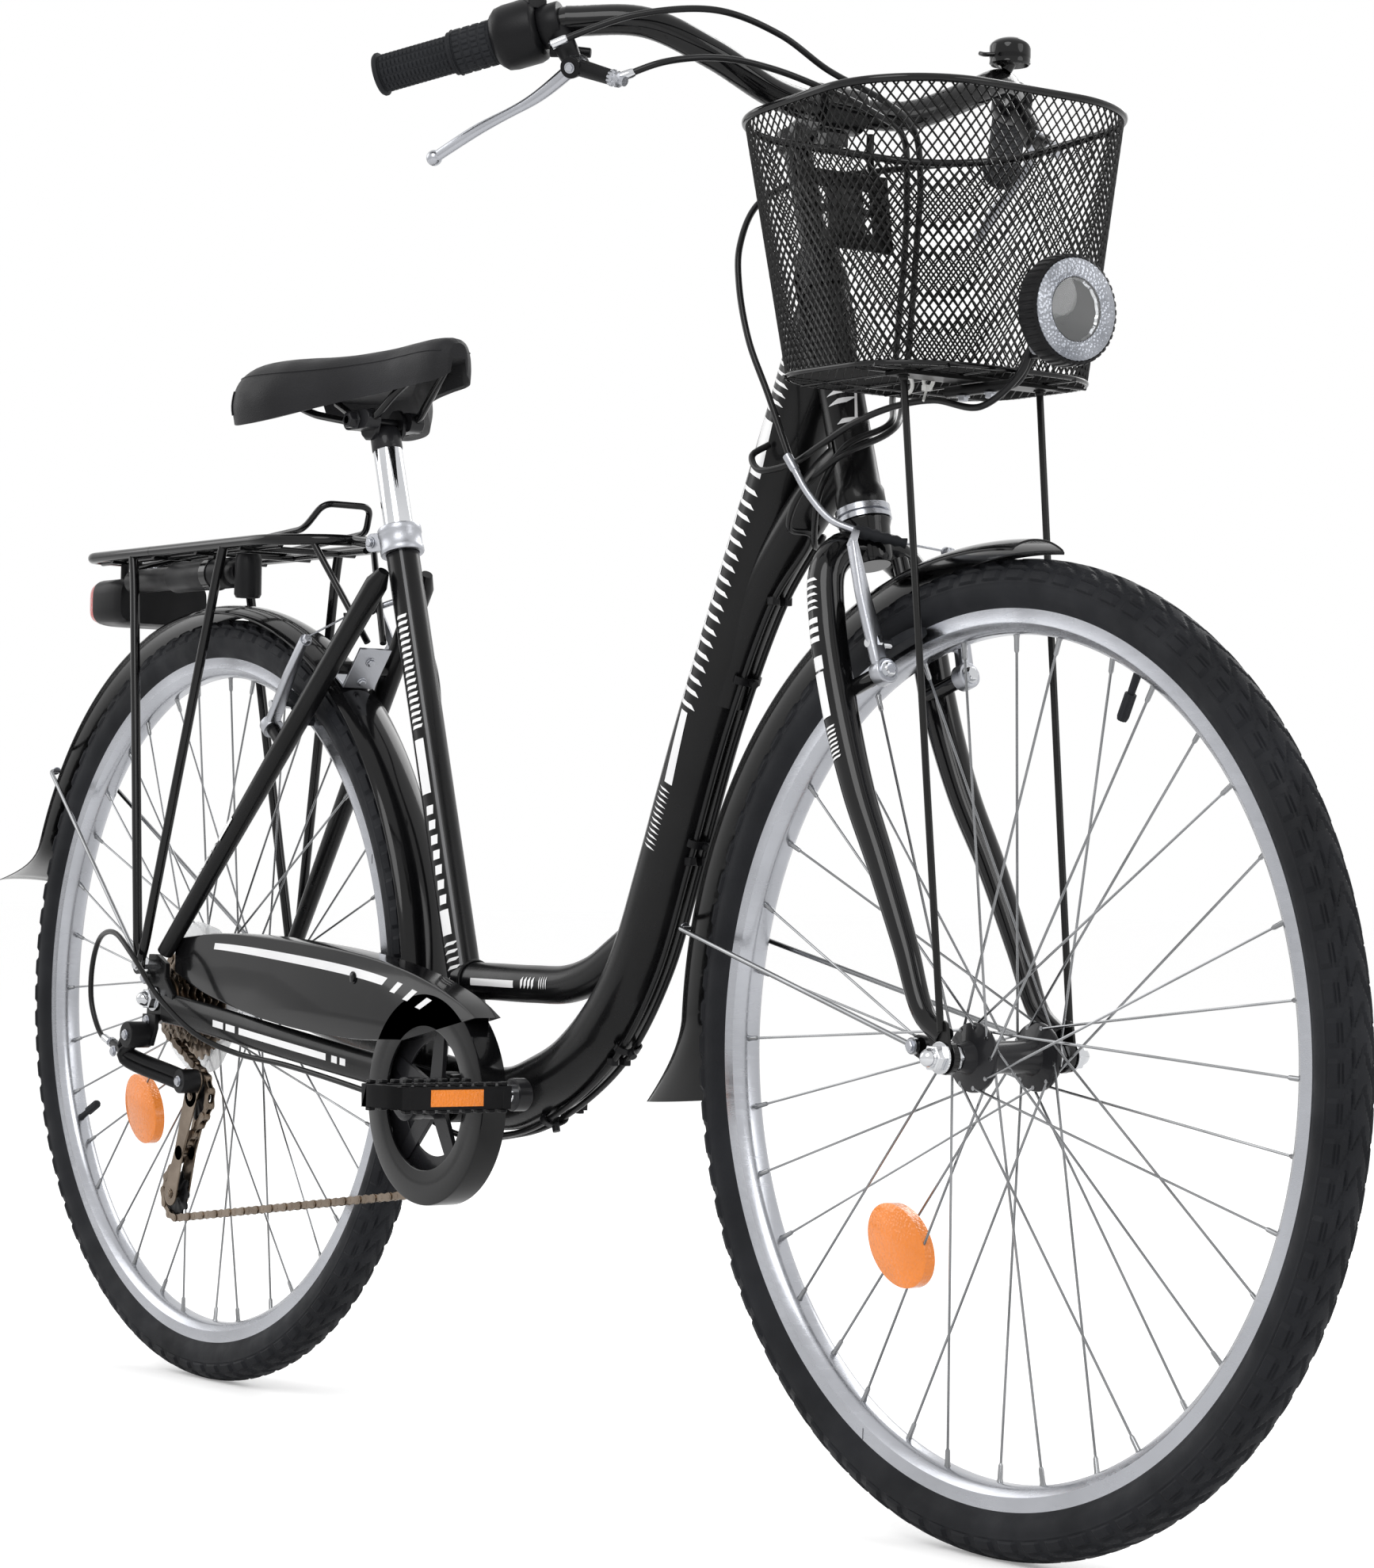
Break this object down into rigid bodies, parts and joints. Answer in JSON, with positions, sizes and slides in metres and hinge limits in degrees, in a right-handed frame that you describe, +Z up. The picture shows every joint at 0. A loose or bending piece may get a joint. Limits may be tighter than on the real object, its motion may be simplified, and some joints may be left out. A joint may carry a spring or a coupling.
{
  "type": "step through bike",
  "caption": "Step-through city bicycle with swan-neck frame, front basket, rear rack, mudguards, chain guard, rim brakes, derailleur gears, swept bar and lamps.",
  "frame": {"origin": "middle of the bounding box on the ground under the tyres", "axes": "+X forwards along the bicycle, +Y to the rider's left, +Z up"},
  "size_m": [1.8748, 0.6278, 1.1241],
  "materials": {
    "frame_black": "satin",
    "gloss_black": "gloss",
    "guard_black": "gloss",
    "plastic_black": "satin",
    "rubber": "matte",
    "cable_black": "satin",
    "tyre": "matte",
    "alloy": "satin",
    "alloy_black": "satin",
    "chrome": "polished",
    "steel_bronze": "brushed",
    "saddle_skin": "matte",
    "red_lens": "gloss",
    "clear_lens": "clear"
  },
  "bodies": {
    "frame": {"frame": "frame_black", "chain_stays": "frame_black", "seat_stays": "frame_black", "stay_bridge": "alloy", "headset_lower": "alloy", "headset_upper": "alloy", "seat_clamp": "alloy", "chain_guard": "guard_black", "rear_axle": "chrome", "rear_mudguard": "guard_black", "rear_mudguard_stay": "chrome", "rack": "frame_black", "tail_light": "red_lens", "pump": "plastic_black", "gear_cable": "cable_black", "rear_brake_cable": "cable_black", "chain": "steel_bronze", "derailleur_body": "plastic_black"},
    "steering": {"fork": "gloss_black", "stem": "gloss_black", "handlebar": "gloss_black", "grip_right": "rubber", "grip_left": "rubber", "shifter_housing": "plastic_black", "brake_bracket_right": "plastic_black", "brake_bracket_left": "plastic_black", "bell": "gloss_black", "basket": "frame_black", "basket_bracket": "frame_black", "basket_legs": "frame_black", "headlight": "plastic_black", "headlight_lens": "clear_lens", "front_mudguard": "guard_black", "front_mudguard_stay": "chrome", "front_axle": "chrome", "front_brake_cable": "cable_black", "lamp_cable": "cable_black"},
    "seat": {"seat_post": "chrome", "saddle_rails": "alloy", "saddle": "saddle_skin"},
    "rack_clip": {"rack_spring_arm": "gloss_black"},
    "lever_right": {"brake_lever_right": "alloy"},
    "lever_left": {"brake_lever_left": "alloy"},
    "twist": {"twist_grip": "rubber"},
    "arm_front_right": {"front_brake_arm_right": "alloy"},
    "arm_front_left": {"front_brake_arm_left": "alloy"},
    "arm_rear_right": {"rear_brake_arm_right": "alloy"},
    "arm_rear_left": {"rear_brake_arm_left": "alloy"},
    "front_wheel": {"front_tyre": "tyre", "front_rim": "alloy", "front_hub": "chrome"},
    "rear_wheel": {"rear_tyre": "tyre", "rear_rim": "alloy", "rear_hub": "chrome"},
    "freewheel": {"freewheel": "steel_bronze"},
    "crank": {"crankset": "alloy_black", "left_crank": "alloy_black"},
    "pedal_right": {"pedal_right": "plastic_black"},
    "pedal_left": {"pedal_left": "plastic_black"},
    "cage": {"derailleur_cage": "steel_bronze"}
  },
  "joints": [
    {"name": "steering_turn", "type": "hinge", "parent": "frame", "child": "steering", "pos_m": [0.54281, 0, 0.33463], "axis": [-0.3007, 0, 0.9537], "range_deg": [-60, 60], "deforming": ["rear_brake_cable", "gear_cable", "lamp_cable"]},
    {"name": "saddle_height", "type": "slide", "parent": "frame", "child": "seat", "axis": [-0.3007, 0, 0.9537], "range_m": [-0.02, 0.08]},
    {"name": "rack_clip_lift", "type": "hinge", "parent": "frame", "child": "rack_clip", "pos_m": [-0.6446, 0, 0.751], "axis": [0, 1, 0], "range_deg": [-8, 0]},
    {"name": "brake_lever_right_pull", "type": "hinge", "parent": "steering", "child": "lever_right", "pos_m": [0.34739, -0.219, 1.05206], "axis": [-0.4509, 0.8342, 0.3175], "range_deg": [0, 18], "stiffness_Nm_per_rad": 0.5},
    {"name": "brake_lever_left_pull", "type": "hinge", "parent": "steering", "child": "lever_left", "pos_m": [0.34739, 0.219, 1.05206], "axis": [0.4509, 0.8342, -0.3175], "range_deg": [0, 18], "stiffness_Nm_per_rad": 0.5},
    {"name": "gear_twist", "type": "hinge", "parent": "steering", "child": "twist", "pos_m": [0.2713, -0.2534, 1.0731], "axis": [-0.7731, -0.5916, -0.2286], "range_deg": [-90, 60]},
    {"name": "front_brake_right", "type": "hinge", "parent": "steering", "child": "arm_front_right", "pos_m": [0.4899, -0.038, 0.61963], "axis": [0.9537, 0, 0.3007], "range_deg": [-5, 0], "stiffness_Nm_per_rad": 2, "deforming": ["front_brake_cable"]},
    {"name": "front_brake_left", "type": "hinge", "parent": "steering", "child": "arm_front_left", "pos_m": [0.4899, 0.038, 0.61963], "axis": [0.9537, 0, 0.3007], "range_deg": [0, 5], "stiffness_Nm_per_rad": 2, "deforming": ["front_brake_cable"]},
    {"name": "rear_brake_right", "type": "hinge", "parent": "frame", "child": "arm_rear_right", "pos_m": [-0.3767, -0.038, 0.59612], "axis": [-0.7552, 0, 0.6555], "range_deg": [0, 5], "stiffness_Nm_per_rad": 2, "deforming": ["rear_brake_cable"]},
    {"name": "rear_brake_left", "type": "hinge", "parent": "frame", "child": "arm_rear_left", "pos_m": [-0.3767, 0.038, 0.59612], "axis": [-0.7552, 0, 0.6555], "range_deg": [-5, 0], "stiffness_Nm_per_rad": 2, "deforming": ["rear_brake_cable"]},
    {"name": "front_wheel_spin", "type": "hinge", "parent": "steering", "child": "front_wheel", "pos_m": [0.5884, 0, 0.349], "axis": [0, 1, 0], "continuous": true},
    {"name": "rear_wheel_spin", "type": "hinge", "parent": "frame", "child": "rear_wheel", "pos_m": [-0.5246, 0, 0.349], "axis": [0, 1, 0], "continuous": true},
    {"name": "freewheel_spin", "type": "hinge", "parent": "frame", "child": "freewheel", "pos_m": [-0.5246, 0, 0.349], "axis": [0, 1, 0], "continuous": true},
    {"name": "crank_spin", "type": "hinge", "parent": "frame", "child": "crank", "pos_m": [-0.0796, 0, 0.283], "axis": [0, 1, 0], "continuous": true, "deforming": ["chain"]},
    {"name": "pedal_right_spin", "type": "hinge", "parent": "crank", "child": "pedal_right", "pos_m": [0.0899, -0.15, 0.29604], "axis": [0, 1, 0], "continuous": true},
    {"name": "pedal_left_spin", "type": "hinge", "parent": "crank", "child": "pedal_left", "pos_m": [-0.2491, 0.15, 0.26996], "axis": [0, 1, 0], "continuous": true},
    {"name": "cage_swing", "type": "hinge", "parent": "frame", "child": "cage", "pos_m": [-0.4826, -0.045, 0.276], "axis": [0, 1, 0], "range_deg": [-15, 25], "stiffness_Nm_per_rad": 0.3, "deforming": ["chain"]}
  ],
  "couplings": [
    {"joint": "freewheel_spin", "follows": "crank_spin", "ratio": 1.9},
    {"joint": "front_brake_right", "follows": "brake_lever_left_pull", "ratio": -0.2777},
    {"joint": "front_brake_left", "follows": "brake_lever_left_pull", "ratio": 0.2777},
    {"joint": "rear_brake_right", "follows": "brake_lever_right_pull", "ratio": 0.2777},
    {"joint": "rear_brake_left", "follows": "brake_lever_right_pull", "ratio": -0.2777}
  ]
}
